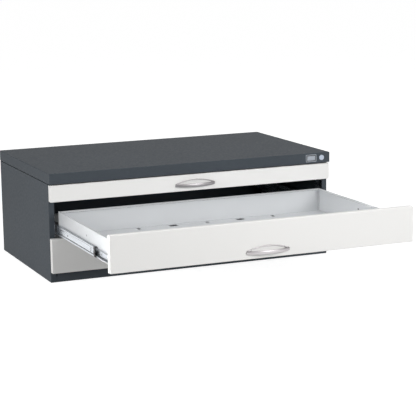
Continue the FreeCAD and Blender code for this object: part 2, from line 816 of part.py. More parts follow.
def make_tray_side(drawer, word, side, tray, slide_drop, where):
    """Tray side: a web with a hem sloping inwards along its top and a flange along its foot."""
    def x(inward):
        return side * (tray_half - inward)

    points = [
        (x(0), as_size(0)),
        (x(s.foot_flange), as_size(0)),
        (x(s.foot_flange), s.skin),
        (x(s.skin), s.skin),
        (x(s.skin), tray - 2 * s.skin),
        (x(s.hem - s.skin), tray - s.hem_drop - s.skin),
        (x(s.hem - s.skin), tray - s.hem_drop - s.hem_lip),
        (x(s.hem), tray - s.hem_drop - s.hem_lip),
        (x(s.hem), tray - s.hem_drop),
        (x(0), tray),
    ]
    length = s.tray_length - s.skin
    name = f"{drawer}_tray_{word}_side"
    body = folded_sheet(name, "XZ_Plane", points, -(tray_front + length), length)
    sketch = new_sketch(body, "holes", "YZ_Plane", side * tray_half)
    for y in tray_screw_places():
        draw_circle(sketch, (y, slide_drop), s.screw_hole)
    draw_circle(sketch, (tray_front + s.tray_length / 2, tray - s.wall_hole_drop), s.wall_hole)
    punch(body, "punch", sketch, 4 * s.skin)
    place(body, *where)
    keep(body, name)


def make_tray_rear(drawer, tray, where):
    """Tray rear wall: a full-width web with a hem and a foot flange between those of the sides."""
    body = doc.addObject("PartDesign::Body", f"{drawer}_tray_rear_wall")
    sketch = new_sketch(body, "web", "XZ_Plane", -tray_rear)
    draw_rectangle(sketch, -tray_half, tray_half, 0, tray)
    pad(body, "web_pad", sketch, s.skin)
    half = tray_half - s.hem
    web = tray_rear - s.skin
    points = [
        (web, tray - 2 * s.skin),
        (web, tray),
        (web - s.hem, tray - s.hem_drop),
        (web - s.hem, tray - s.hem_drop - s.hem_lip),
        (web - s.hem + s.skin, tray - s.hem_drop - s.hem_lip),
        (web - s.hem + s.skin, tray - s.hem_drop - s.skin),
    ]
    sketch = new_sketch(body, "hem", "YZ_Plane", -half)
    draw_polygon(sketch, points)
    pad(body, "hem_pad", sketch, 2 * half)
    half = tray_half - s.foot_flange
    sketch = new_sketch(body, "foot", "YZ_Plane", -half)
    draw_rectangle(sketch, tray_rear - s.foot_flange, web, 0, s.skin)
    pad(body, "foot_pad", sketch, 2 * half)
    place(body, *where)
    keep(body, f"{drawer}_tray_rear_wall")


def make_handle(drawer, where):
    """Cast handle: a bowed grip band with a thin arched rib above it and two screw bosses."""
    body = doc.addObject("PartDesign::Body", f"{drawer}_handle")
    sketch = new_sketch(body, "bow", "XY_Plane", -s.band_rise / 2)
    inner_half = s.handle_half - s.foot_width
    inner_reach = s.handle_reach - s.band_thick
    draw_crescent(sketch, s.handle_half, s.handle_reach, inner_half, inner_reach, as_size(0), -1)
    pad(body, "band", sketch, s.band_rise)
    sketch = new_sketch(body, "arch", "XZ_Plane", 0)
    arch_foot = s.band_rise / 2 - s.arch_thick
    arch_bow = s.arch_rise - arch_foot
    arch_half = s.handle_half - s.rib_inset
    inner_arch = arch_half - s.arch_thick
    draw_crescent(sketch, arch_half, arch_bow, inner_arch, arch_bow - s.arch_thick, arch_foot, 1)
    pad(body, "rib", sketch, s.arch_reach)
    sketch = new_sketch(body, "bosses", "XZ_Plane", 0)
    for side in (LEFT, RIGHT):
        draw_circle(sketch, (side * s.boss_half, 0), s.boss_radius)
    pad(body, "boss", sketch, s.arch_reach)
    sketch = new_sketch(body, "threads", "XZ_Plane", 0)
    for side in (LEFT, RIGHT):
        draw_circle(sketch, (side * s.boss_half, 0), s.screw_shank + POCKET_CLEAR)
    hollow(body, "thread", sketch, s.arch_reach)
    place(body, *where)
    keep(body, f"{drawer}_handle")


def make_drawer_screws(drawer, where, slide_z):
    """Screws of the handle, from inside the front, and of the drawer members."""
    x, y, z = where
    screws = []
    for word, side in (("left", LEFT), ("right", RIGHT)):
        seat = (side * s.boss_half, y + front_face + s.steel, z + s.handle_rise)
        name = f"{drawer}_handle_screw_{word}"
        screws.append(make_screw(name, s.pan_head, s.handle_shank, seat, TURN_TO_FRONT))
        turn = TURN_TO_RIGHT if side == LEFT else TURN_TO_LEFT
        for index, along in enumerate(tray_screw_places()):
            seat = (side * (tray_half + s.steel), y + along, slide_z)
            name = f"{drawer}_tray_screw_{word}_{index}"
            screws.append(make_screw(name, s.flat_head, s.steel + s.skin, seat, turn))
    keep(group(f"{drawer}_screw_set", screws), f"{drawer}_drawer_screws")


def make_drawer(drawer, units_below, units, is_open):
    """One drawer with its front, tray, handle and telescopic slides."""
    shift = s.travel * is_open
    bottom = s.plinth_rise + s.raster * units_below
    rise = s.raster * units - s.front_gap
    tray = s.single_tray if units == 1 else s.double_tray
    front_place = (0, -shift, bottom)
    tray_place = (0, -shift, bottom + s.tray_lift)
    slide_z = slide_height(units_below)
    slide_drop = s.slide_rise - s.tray_lift
    make_front_panel(drawer, rise, front_place)
    make_front_liner(drawer, rise, front_place)
    make_tray_floor(drawer, tray_place)
    make_tray_side(drawer, "left", LEFT, tray, slide_drop, tray_place)
    make_tray_side(drawer, "right", RIGHT, tray, slide_drop, tray_place)
    make_tray_rear(drawer, tray, tray_place)
    make_handle(drawer, (0, front_face - shift, bottom + s.handle_rise))
    make_drawer_screws(drawer, front_place, slide_z)
    make_inner_members(drawer, slide_z, shift)
    make_middle_members(drawer, slide_z, shift)
    make_outer_members(drawer, slide_z)
    make_outer_cages(drawer, slide_z, shift)
    make_inner_cages(drawer, slide_z, shift)


def make_cabinet():
    """The fixed body."""
    make_lid()
    make_side_panel("left_side_panel", LEFT)
    make_side_panel("right_side_panel", RIGHT)
    make_back_panel()
    make_base_panel()
    make_plinth_rail()
    make_top_rails()
    make_uprights("left_uprights", LEFT)
    make_uprights("right_uprights", RIGHT)
    make_label()
    make_badge()
    make_body_screws()


def check_document():
    """Stop if any object failed, or any sub-part has no valid shape."""
    failed = [thing.Name for thing in doc.Objects if {"Invalid", "Error"} & set(thing.State)]
    if failed:
        raise SystemExit(f"objects that failed: {failed}")
    for node, thing in nodes.items():
        if thing.Shape.isNull() or not thing.Shape.isValid() or thing.Shape.Volume <= 0:
            raise SystemExit(f"{node} has no valid shape")


make_cabinet()
for drawer_row in DRAWERS:
    make_drawer(*drawer_row)
doc.recompute()
check_document()

os.makedirs("parts", exist_ok=True)
for node, thing in nodes.items():
    thing.Shape.exportStep(f"parts/{node}.step")
print(len(nodes), "sub-parts written")
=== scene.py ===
"""Looks of the flat file cabinet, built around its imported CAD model. Lengths are metres."""

import json
import math

import bmesh
import bpy
from mathutils import Matrix, Vector


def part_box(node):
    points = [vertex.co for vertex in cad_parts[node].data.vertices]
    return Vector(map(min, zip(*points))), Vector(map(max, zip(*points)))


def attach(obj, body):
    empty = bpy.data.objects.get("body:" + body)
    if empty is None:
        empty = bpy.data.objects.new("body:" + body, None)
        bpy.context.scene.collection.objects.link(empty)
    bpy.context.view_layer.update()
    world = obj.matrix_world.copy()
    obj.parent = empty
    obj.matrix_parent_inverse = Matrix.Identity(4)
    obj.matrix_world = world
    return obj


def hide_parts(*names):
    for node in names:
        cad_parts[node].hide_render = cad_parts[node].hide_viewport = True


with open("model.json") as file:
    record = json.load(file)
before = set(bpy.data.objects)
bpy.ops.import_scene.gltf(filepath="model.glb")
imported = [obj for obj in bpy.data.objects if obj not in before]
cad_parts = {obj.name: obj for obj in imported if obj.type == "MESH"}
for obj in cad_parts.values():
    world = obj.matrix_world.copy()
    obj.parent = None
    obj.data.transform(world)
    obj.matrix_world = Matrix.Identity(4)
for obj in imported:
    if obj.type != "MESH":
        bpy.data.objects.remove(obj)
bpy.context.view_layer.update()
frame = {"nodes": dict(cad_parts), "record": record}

MM = 0.001
DRAWERS = ("upper", "middle", "lower")
SIDES = (("left", -1), ("right", 1))

SHEET = 1.2 * MM
SKIN = 1.0 * MM
FOLD = 1.5 * MM


# ---------------------------------------------------------------- camera

CAMERA_PLACE = (-2.056, -5.3167, 1.2321)
CAMERA_YAW = math.radians(22.87)
CAMERA_PITCH = math.radians(10.56)
CAMERA_ROLL = math.radians(0.88)
CAMERA_LENS = 130.3


def make_camera():
    """A long lens from the front left, a little above the lid."""
    data = bpy.data.cameras.new("camera")
    data.lens = CAMERA_LENS
    data.sensor_width = 36.0
    data.clip_end = 100.0
    camera = bpy.data.objects.new("camera", data)
    yaw = Matrix.Rotation(-CAMERA_YAW, 4, "Z")
    pitch = Matrix.Rotation(math.radians(90) - CAMERA_PITCH, 4, "X")
    roll = Matrix.Rotation(-CAMERA_ROLL, 4, "Z")
    camera.matrix_world = Matrix.Translation(CAMERA_PLACE) @ (yaw @ pitch) @ roll
    bpy.context.scene.collection.objects.link(camera)
    bpy.context.scene.camera = camera


# ---------------------------------------------------------------- materials


class Shader:
    """A node material under construction: one Principled BSDF with object coordinates."""

    def __init__(self, name, colour, metallic, roughness, specular=0.5):
        self.material = bpy.data.materials.new(name)
        self.material.use_nodes = True
        self.tree = self.material.node_tree
        self.surface = self.tree.nodes["Principled BSDF"]
        self.surface.inputs["Base Color"].default_value = (*colour, 1.0)
        self.surface.inputs["Metallic"].default_value = metallic
        self.surface.inputs["Roughness"].default_value = roughness
        self.surface.inputs["Specular IOR Level"].default_value = specular
        self.colour = colour
        self.coordinates = self.tree.nodes.new("ShaderNodeTexCoord").outputs["Object"]
        self.normal = None

    def node(self, kind, **settings):
        made = self.tree.nodes.new(kind)
        for key, value in settings.items():
            setattr(made, key, value)
        return made

    def link(self, source, target):
        self.tree.links.new(source, target)

    def stretched(self, scale):
        """Object coordinates stretched per axis, for grain that runs one way."""
        mapping = self.node("ShaderNodeMapping")
        mapping.inputs["Scale"].default_value = scale
        self.link(self.coordinates, mapping.inputs["Vector"])
        return mapping.outputs["Vector"]

    def noise(self, scale, detail=2.0, roughness=0.5, vector=None):
        made = self.node("ShaderNodeTexNoise")
        made.inputs["Scale"].default_value = scale
        made.inputs["Detail"].default_value = detail
        made.inputs["Roughness"].default_value = roughness
        self.link(vector or self.coordinates, made.inputs["Vector"])
        return made.outputs["Fac"]

    def ramp(self, factor, low, high, low_value, high_value):
        """A factor remapped from one range to another."""
        made = self.node("ShaderNodeMapRange")
        made.inputs["From Min"].default_value = low
        made.inputs["From Max"].default_value = high
        made.inputs["To Min"].default_value = low_value
        made.inputs["To Max"].default_value = high_value
        self.link(factor, made.inputs["Value"])
        return made.outputs["Result"]

    def bump(self, height, strength, distance):
        """Stack one more layer of relief on the surface."""
        made = self.node("ShaderNodeBump")
        made.inputs["Strength"].default_value = strength
        made.inputs["Distance"].default_value = distance
        self.link(height, made.inputs["Height"])
        if self.normal is not None:
            self.link(self.normal, made.inputs["Normal"])
        self.normal = made.outputs["Normal"]
        self.link(self.normal, self.surface.inputs["Normal"])

    def tint(self, factor, colour, base=None):
        """Mix the current colour with another one by a factor."""
        made = self.node("ShaderNodeMix", data_type="RGBA")
        self.link(factor, made.inputs["Factor"])
        if base is None:
            made.inputs["A"].default_value = (*self.colour, 1.0)
        else:
            self.link(base, made.inputs["A"])
        made.inputs["B"].default_value = (*colour, 1.0)
        self.link(made.outputs["Result"], self.surface.inputs["Base Color"])
        return made.outputs["Result"]

    def edges(self, radius, low, high):
        """1 on a convex or concave edge narrower than the radius, and 0 on a flat face."""
        rounded_normal = self.node("ShaderNodeBevel", samples=4)
        rounded_normal.inputs["Radius"].default_value = radius
        geometry = self.node("ShaderNodeNewGeometry")
        product = self.node("ShaderNodeVectorMath", operation="DOT_PRODUCT")
        self.link(rounded_normal.outputs["Normal"], product.inputs[0])
        self.link(geometry.outputs["Normal"], product.inputs[1])
        return self.ramp(product.outputs["Value"], high, low, 0.0, 1.0)


def scaled(colour, factor):
    """A lighter or darker version of a colour."""
    return tuple(min(1.0, channel * factor) for channel in colour)


def powder_coat(name, colour, roughness, grain, depth, wear, specular=0.5, painted_fold_shading=None):
    """Baked powder paint: fine grain, slow drift in tone and gloss, and polished edges or painted shade in
    folds.
    """
    made = Shader(name, colour, 0.0, roughness, specular)
    drift = made.noise(3.5, 3.0)
    speckle = made.noise(grain * 0.6, 2.0)
    tone = made.tint(made.ramp(drift, 0.35, 0.65, 0.0, 1.0), scaled(colour, 1.0 + wear * 0.5))
    tone = made.tint(made.ramp(speckle, 0.52, 0.72, 0.0, 1.0), scaled(colour, 1.0 + wear), tone)
    if painted_fold_shading is None:
        made.tint(made.edges(0.8 * MM, 0.9, 0.985), scaled(colour, 1.0 + wear * 1.6), tone)
    else:
        # painted shade: folds darkened by the given factor, standing in for the shadow in and under a fold
        made.tint(made.edges(2.5 * MM, 0.8, 0.97), scaled(colour, painted_fold_shading), tone)
    gloss = made.ramp(made.noise(grain * 0.08, 2.0), 0.3, 0.7, roughness - 0.05, roughness + 0.06)
    made.link(gloss, made.surface.inputs["Roughness"])
    made.bump(made.noise(grain * 0.12, 1.0), depth, 0.12 * MM)
    made.bump(made.noise(grain, 2.0), depth * 0.8, 0.03 * MM)
    return made.material


def rolled_steel(name, colour, roughness, along, painted_fold_shading):
    """Bright metal sheet: rolling lines along one axis, faint crystal patches, and folds tinted by a
    factor: painted shade below 1, painted highlight above 1.
    """
    made = Shader(name, colour, 1.0, roughness)
    scale = tuple(9.0 if axis == along else 900.0 for axis in "xyz")
    lines = made.noise(1.0, 3.0, 0.6, made.stretched(scale))
    patches = made.node("ShaderNodeTexVoronoi")
    patches.inputs["Scale"].default_value = 260.0
    made.link(made.coordinates, patches.inputs["Vector"])
    tone = made.tint(made.ramp(lines, 0.4, 0.7, 0.0, 0.4), scaled(colour, 0.8))
    spot = made.node("ShaderNodeSeparateColor")
    made.link(patches.outputs["Color"], spot.inputs["Color"])
    tone = made.tint(made.ramp(spot.outputs["Red"], 0.0, 1.0, 0.0, 0.3), scaled(colour, 1.1), tone)
    # folds tinted by the factor: painted shade where it is under 1, painted highlight where it is over 1
    made.tint(made.edges(3.0 * MM, 0.8, 0.98), scaled(colour, painted_fold_shading), tone)
    gloss = made.ramp(lines, 0.3, 0.7, roughness - 0.07, roughness + 0.1)
    made.link(gloss, made.surface.inputs["Roughness"])
    made.bump(lines, 0.1, 0.02 * MM)
    return made.material


def satin_metal(name, colour, roughness):
    """Cast metal with a fine satin brushing along X and a faint cloudy tone."""
    made = Shader(name, colour, 1.0, roughness)
    brushing = made.noise(1.0, 3.0, 0.6, made.stretched((30.0, 1100.0, 1100.0)))
    cloud = made.noise(45.0, 3.0)
    tone = made.tint(made.ramp(cloud, 0.35, 0.65, 0.0, 0.6), scaled(colour, 0.9))
    made.tint(made.ramp(brushing, 0.5, 0.75, 0.0, 0.4), scaled(colour, 1.12), tone)
    gloss = made.ramp(brushing, 0.3, 0.7, roughness - 0.05, roughness + 0.06)
    made.link(gloss, made.surface.inputs["Roughness"])
    made.bump(brushing, 0.06, 0.02 * MM)
    return made.material


def moulded_plastic(name, colour, roughness, grain):
    """Moulded plastic with a fine spark-eroded grain."""
    made = Shader(name, colour, 0.0, roughness)
    texture = made.noise(grain, 3.0)
    made.tint(made.ramp(texture, 0.45, 0.75, 0.0, 1.0), scaled(colour, 1.5))
    gloss = made.ramp(texture, 0.3, 0.7, roughness - 0.08, roughness + 0.08)
    made.link(gloss, made.surface.inputs["Roughness"])
    made.bump(texture, 0.3, 0.05 * MM)
    return made.material


def turned_steel(name, colour, roughness):
    """Small turned or polished steel parts."""
    made = Shader(name, colour, 1.0, roughness)
    scratches = made.noise(1400.0, 4.0, 0.7)
    made.tint(made.ramp(scratches, 0.45, 0.75, 0.0, 0.7), scaled(colour, 0.7))
    made.link(made.ramp(scratches, 0.3, 0.7, roughness, roughness + 0.15), made.surface.inputs["Roughness"])
    made.bump(scratches, 0.15, 0.02 * MM)
    return made.material


MATERIALS = {
    "anthracite_paint": powder_coat(
        "anthracite_paint", (0.050, 0.060, 0.071),
        roughness=0.58, grain=1500.0, depth=0.22, wear=0.12, specular=0.15,
    ),
    "white_paint": powder_coat(
        "white_paint", (0.80, 0.795, 0.78),
        roughness=0.36, grain=1300.0, depth=0.22, wear=0.03,
    ),
    # painted shade: the tray's folds and hems darkened to 35 percent of the paint
    "tray_paint": powder_coat(
        "tray_paint", (0.585, 0.60, 0.615),
        roughness=0.38, grain=1300.0, depth=0.22, wear=0.04, painted_fold_shading=0.35,
    ),
    # painted shade: the slide members' folds darkened to 16 percent, for dark lines between the members
    "zinc_steel": rolled_steel("zinc_steel", (0.62, 0.65, 0.69), roughness=0.24, along="y", painted_fold_shading=0.16),
    "handle_satin": satin_metal("handle_satin", (0.45, 0.43, 0.44), roughness=0.4),
    "screw_steel": turned_steel("screw_steel", (0.66, 0.67, 0.69), roughness=0.25),
    "ball_steel": turned_steel("ball_steel", (0.82, 0.82, 0.83), roughness=0.08),
    "black_plastic": moulded_plastic("black_plastic", (0.012, 0.012, 0.013), roughness=0.45, grain=1800.0),
    # painted highlight: the label's folds lightened by 10 percent
    "label_silver": rolled_steel("label_silver", (0.26, 0.28, 0.31), roughness=0.38, along="x", painted_fold_shading=1.1),
    "label_field": moulded_plastic("label_field", (0.045, 0.05, 0.055), roughness=0.4, grain=1200.0),
    "badge_plastic": moulded_plastic("badge_plastic", (0.42, 0.47, 0.56), roughness=0.32, grain=1500.0),
}


# ---------------------------------------------------------------- meshes


def on_axis(axis, u, v, along):
    """A section point turned into space: the section's plane is square to the axis."""
    return {"x": (along, u, v), "y": (u, along, v), "z": (u, v, along)}[axis]


def rounded(points, radius, steps=5):
    """An open path with each corner turned into an arc."""
    path = [Vector(points[0])]
    for before, corner, after in zip(points, points[1:], points[2:]):
        corner = Vector(corner)
        back = (Vector(before) - corner).normalized()
        ahead = (Vector(after) - corner).normalized()
        turn = math.pi - back.angle(ahead)
        centre = corner + (back + ahead).normalized() * radius / math.cos(turn / 2)
        spoke = corner + back * radius * math.tan(turn / 2) - centre
        left = (-back).x * ahead.y - (-back).y * ahead.x > 0
        for step in range(steps + 1):
            angle = turn * step / steps * (1 if left else -1)
            path.append(centre + Matrix.Rotation(angle, 2) @ spoke)
    path.append(Vector(points[-1]))
    return path


def sheet_faces(path, thickness):
    """The two faces of a sheet whose middle follows the path, as pairs of points."""
    pairs = []
    for index, point in enumerate(path):
        ahead = path[min(index + 1, len(path) - 1)] - point
        behind = point - path[max(index - 1, 0)]
        tangent = (ahead.normalized() + behind.normalized()).normalized()
        normal = Vector((-tangent.y, tangent.x)) * thickness / 2
        pairs.append((point + normal, point - normal))
    return pairs


def sweep_sheet(bm, path, thickness, axis, start, stop):
    """A folded sheet of constant section, swept along one axis."""
    pairs = sheet_faces(path, thickness)
    ends = []
    for along in (start, stop):
        ends.append([[bm.verts.new(on_axis(axis, p.x, p.y, along)) for p in pair] for pair in pairs])
    first, last = ends
    for here in range(len(pairs) - 1):
        there = here + 1
        for side in (0, 1):
            bm.faces.new((first[here][side], first[there][side], last[there][side], last[here][side]))
        for end in ends:
            bm.faces.new((end[here][0], end[there][0], end[there][1], end[here][1]))
    for edge in (0, -1):
        bm.faces.new((first[edge][0], first[edge][1], last[edge][1], last[edge][0]))


def skin_rings(bm, rings):
    """A closed skin through rings of equal count, with a cap at each end."""
    loops = [[bm.verts.new(point) for point in ring] for ring in rings]
    count = len(loops[0])
    for near, far in zip(loops, loops[1:]):
        for index in range(count):
            following = (index + 1) % count
            bm.faces.new((near[index], near[following], far[following], far[index]))
    bm.faces.new(loops[0])
    bm.faces.new(loops[-1])


def rounded_rectangle(half_width, half_height, corner, steps=4):
    """Corner arcs of a rectangle, anticlockwise."""
    corner = max(corner, 0.05 * MM)
    points = []
    for quarter, (x_sign, y_sign) in enumerate(((1, 1), (-1, 1), (-1, -1), (1, -1))):
        for step in range(steps + 1):
            angle = math.pi / 2 * (quarter + step / steps)
            x = x_sign * (half_width - corner) + corner * math.cos(angle)
            y = y_sign * (half_height - corner) + corner * math.sin(angle)
            points.append((x, y))
    return points


PAN_FOLD = 1.6 * MM
PAN_CORNER = 2.2 * MM
FACE_START = 3 * MM


def pan_rings(half_width, half_height, depth, fold, corner, steps=5):
    """Rings of one skin of a pan: its open rim, the fold in a few steps, and the start of its face."""
    stages = [(0.0, 0.0), (0.0, depth - fold)]
    for step in range(1, steps + 1):
        angle = math.pi / 2 * step / steps
        stages.append((fold * (1 - math.cos(angle)), depth - fold + fold * math.sin(angle)))
    stages.append((fold + FACE_START, depth))
    rings = []
    for inset, along in stages:
        outline = rounded_rectangle(half_width - inset, half_height - inset, corner - inset)
        rings.append([(x, y, along) for x, y in outline])
    return rings


def add_pan(bm, half_width, half_height, depth, place):
    """A shallow folded pan of sheet steel, open at local depth 0 and closed at the given depth."""
    outer = pan_rings(half_width, half_height, depth, PAN_FOLD, PAN_CORNER)
    inner_fold = PAN_FOLD - SHEET + 0.3 * MM
    inner_corner = PAN_CORNER - SHEET
    inner = pan_rings(half_width - SHEET, half_height - SHEET, depth - SHEET, inner_fold, inner_corner)
    inner.reverse()
    skin_rings(bm, [[place(*point) for point in ring] for ring in inner + outer])


def plate(bm, outline, axis, near, far, bevel=0.0):
    """A flat piece with the given outline, its near and far rims softened by a bevel."""
    centre = sum((Vector(p) for p in outline), Vector((0, 0))) / len(outline)
    rings = []
    for along, inset in ((near, bevel), (near + bevel, 0.0), (far - bevel, 0.0), (far, bevel)):
        ring = []
        for point in outline:
            spoke = Vector(point) - centre
            moved = centre + spoke * (1 - inset / max(spoke.length, 1e-6))
            ring.append(on_axis(axis, moved.x, moved.y, along))
        rings.append(ring)
    if bevel == 0.0:
        rings = [rings[0], rings[3]]
    skin_rings(bm, rings)


def shifted(outline, u, v):
    """An outline shifted in its own plane."""
    return [(u + x, v + y) for x, y in outline]


def circle(centre, radius, count=24):
    """Points round a circle."""
    angles = [2 * math.pi * index / count for index in range(count)]
    return [(centre[0] + radius * math.cos(a), centre[1] + radius * math.sin(a)) for a in angles]


def object_from(bm, name):
    """A new object holding a bmesh, which is freed."""
    bmesh.ops.recalc_face_normals(bm, faces=bm.faces)
    mesh = bpy.data.meshes.new(name)
    bm.to_mesh(mesh)
    bm.free()
    made = bpy.data.objects.new(name, mesh)
    bpy.context.scene.collection.objects.link(made)
    return made


def settle(thing):
    """Apply an object's modifiers to its mesh."""
    bpy.context.view_layer.update()
    shape = thing.evaluated_get(bpy.context.evaluated_depsgraph_get())
    mesh = bpy.data.meshes.new_from_object(shape)
    thing.modifiers.clear()
    old = thing.data
    thing.data = mesh
    bpy.data.meshes.remove(old)


def drill(thing, cutter_bm):
    """Cut the cutter's solids out of an object."""
    cutter = object_from(cutter_bm, "cutter")
    cut = thing.modifiers.new("cut", "BOOLEAN")
    cut.operation = "DIFFERENCE"
    cut.solver = "EXACT"
    cut.object = cutter
    settle(thing)
    bpy.data.objects.remove(cutter)


def dress(thing, slot, body, replaced=(), angle=32.0, finish=None):
    """Shade a piece, give it its material, and let it ride on its body."""
    mesh = thing.data
    mesh.materials.clear()
    mesh.materials.append(MATERIALS[finish or slot])
    mesh.shade_smooth()
    mesh.set_sharp_from_angle(angle=math.radians(angle))
    weighted = thing.modifiers.new("weighted", "WEIGHTED_NORMAL")
    weighted.keep_sharp = True
    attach(thing, body)
    if replaced:
        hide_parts(*replaced)
    return thing


# ---------------------------------------------------------------- cabinet


def make_lid():
    """Folded lid, open along the foot of its rim."""
    low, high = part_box("top_plate")
    middle = (low + high) / 2
    bm = bmesh.new()
    add_pan(
        bm,
        (high.x - low.x) / 2,
        (high.y - low.y) / 2,
        high.z - low.z,
        lambda x, y, depth: (middle.x + x, middle.y + y, low.z + depth),
    )
    dress(object_from(bm, "lid"), "anthracite_paint", "cabinet", ["top_plate"])


LID_SEAM = 1.5 * MM


def make_side_panels():
    """Side panels with rounded folds and returns, and an open seam below the lid."""
    for word, side in SIDES:
        node = f"{word}_side_panel"
        low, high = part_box(node)
        outer = (low.x if side < 0 else high.x) - side * SHEET / 2
        inner = high.x if side < 0 else low.x
        front = low.y + SHEET / 2
        rear = high.y - SHEET / 2
        path = rounded([(inner, front), (outer, front), (outer, rear), (inner, rear)], FOLD)
        bm = bmesh.new()
        sweep_sheet(bm, path, SHEET, "z", low.z, high.z - LID_SEAM)
        dress(object_from(bm, f"{word}_side"), "anthracite_paint", "cabinet", [node])


PLINTH_SEAM = 1.5 * MM


def make_plinth():
    """Plinth rail below the lowest drawer, with an open seam at each end."""
    low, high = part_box("plinth_rail")
    front = low.y + SHEET / 2
    top = high.z - SHEET / 2
    bm = bmesh.new()
    path = rounded([(front, low.z), (front, top), (high.y, top)], FOLD)
    sweep_sheet(bm, path, SHEET, "x", low.x + PLINTH_SEAM, high.x - PLINTH_SEAM)
    dress(object_from(bm, "plinth"), "anthracite_paint", "cabinet", ["plinth_rail"])


def paint_field(thing, limit):
    """Give the sunk field of a small plate its own darker finish."""
    thing.data.materials.append(MATERIALS["label_field"])
    for face in thing.data.polygons:
        if face.normal.y < -0.9 and face.center.y > limit:
            face.material_index = 1


LABEL_CORNER = 3 * MM
LABEL_RIM = 1.6 * MM
LABEL_DISH = 0.35 * MM
LABEL_SLOPE = 0.3 * MM
LABEL_EASE = 0.2 * MM
PAD_EDGE = 3.6 * LABEL_RIM
PAD_FACE = 4.4 * LABEL_RIM
PAD_SINK = 0.1 * MM


def make_label():
    """Blank label plate: a raised rim round a sunk field, with a plain pad in the middle."""
    low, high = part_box("front_label")
    middle = (low + high) / 2
    half = (high - low) / 2
    profile = [
        (0.0, high.y), (0.0, low.y + LABEL_EASE), (LABEL_EASE, low.y), (LABEL_RIM, low.y),
        (LABEL_RIM + LABEL_SLOPE, low.y + LABEL_DISH), (PAD_EDGE, low.y + LABEL_DISH),
        (PAD_EDGE + LABEL_SLOPE, low.y + PAD_SINK), (PAD_FACE, low.y + PAD_SINK),
    ]
    rings = []
    for inset, along in profile:
        outline = rounded_rectangle(half.x - inset, half.z - inset, LABEL_CORNER - inset * 0.4)
        rings.append([(middle.x + x, along, middle.z + z) for x, z in outline])
    bm = bmesh.new()
    skin_rings(bm, rings)
    label = dress(object_from(bm, "label_plate"), "label_silver", "cabinet", ["front_label"])
    paint_field(label, low.y + LABEL_DISH / 2)


# Share of the badge's radius, and depth behind its foremost point in millimetres.
BADGE_PROFILE = [(1.0, 0.3), (0.96, 0.0), (0.84, 0.0), (0.78, 0.3), (0.4, 0.15), (0.15, 0.1)]


def make_badge():
    """Plain round badge: a raised ring round a low dome."""
    low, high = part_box("round_badge")
    middle = (low + high) / 2
    radius = (high.x - low.x) / 2
    profile = [(1.0, high.y)] + [(share, low.y + sink * MM) for share, sink in BADGE_PROFILE]
    rings = []
    for share, along in profile:
        rings.append([(x, along, z) for x, z in circle((middle.x, middle.z), radius * share, 36)])
    bm = bmesh.new()
    skin_rings(bm, rings)
    dress(object_from(bm, "badge"), "badge_plastic", "cabinet", ["round_badge"])


# ---------------------------------------------------------------- drawers


FRONT_SEAM = 1.2 * MM


def make_front(drawer):
    """Drawer front: a folded pan that opens to the rear, with a little more gap above it."""
    node = f"{drawer}_front_panel"
    low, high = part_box(node)
    high.z -= FRONT_SEAM
    middle = (low + high) / 2
    bm = bmesh.new()
    add_pan(
        bm,
        (high.x - low.x) / 2,
        (high.z - low.z) / 2,
        high.y - low.y,
        lambda x, z, depth: (middle.x + x, high.y - depth, middle.z + z),
    )
    dress(object_from(bm, f"{drawer}_front"), "white_paint", f"{drawer}_drawer", [node])


HEM = 8 * MM
HEM_DROP = 4.5 * MM
HEM_LIP = 1.5 * MM
HOLE_BELOW_TOP = 30 * MM
HOLE_RADIUS = 3 * MM
PLUG_RADIUS = 3.4 * MM
PLUG_THICK = 0.8 * MM


def hem_path(web, inner, top):
    """Middle line of a wall's sloping hem, from the wall's top to the edge of the turned-down lip."""
    edge = top - HEM_DROP - SKIN / 2
    return [(web, top - SKIN / 2), (inner, edge), (inner, edge - HEM_LIP + SKIN / 2)]


def make_plug(name, body, hole, web, side):
    """Plastic plug on the inner face of a tray side, over its hole."""
    face = web - side * SKIN * 0.52
    ends = sorted((face, face - side * PLUG_THICK))
    bm = bmesh.new()
    plate(bm, circle(hole, PLUG_RADIUS), "x", *ends, 0.2 * MM)
    dress(object_from(bm, name), "black_plastic", body)


def make_tray_side(drawer, word, side):
    """Tray side with a foot flange, a sloping hem along its top, and one plugged hole."""
    node = f"{drawer}_tray_{word}_side"
    body = f"{drawer}_drawer"
    low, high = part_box(node)
    web = (low.x if side < 0 else high.x) - side * SKIN / 2
    inner = web - side * (HEM - SKIN)
    foot = low.z + SKIN / 2
    points = [(inner, foot), (web, foot)] + hem_path(web, inner, high.z)
    bm = bmesh.new()
    sweep_sheet(bm, rounded(points, FOLD / 2), SKIN, "y", low.y, high.y)
    wall = object_from(bm, f"{drawer}_{word}_wall")
    hole = ((low.y + high.y) / 2, high.z - HOLE_BELOW_TOP)
    cutter = bmesh.new()
    plate(cutter, circle(hole, HOLE_RADIUS), "x", web - 3 * MM, web + 3 * MM)
    drill(wall, cutter)
    dress(wall, "tray_paint", body, [node])
    make_plug(f"{drawer}_{word}_plug", body, hole, web, side)


def make_tray_rear(drawer):
    """Rear wall with a foot flange and a sloping hem, which both stop short of the tray sides."""
    node = f"{drawer}_tray_rear_wall"
    low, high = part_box(node)
    web = high.y - SKIN / 2
    near = high.y - SKIN - HEM + SKIN / 2
    foot = low.z + SKIN / 2
    points = [(high.y - HEM, foot), (web, foot)] + hem_path(web, near, high.z)
    inner_half = high.x - HEM
    bm = bmesh.new()
    sweep_sheet(bm, rounded(points, FOLD / 2), SKIN, "x", -inner_half, inner_half)
    flat = [Vector((web, high.z - 0.2 * MM)), Vector((web, low.z))]
    for side in (-1, 1):
        ends = sorted((side * inner_half, side * high.x))
        sweep_sheet(bm, flat, SKIN, "x", *ends)
    dress(object_from(bm, f"{drawer}_rear_wall"), "tray_paint", f"{drawer}_drawer", [node])


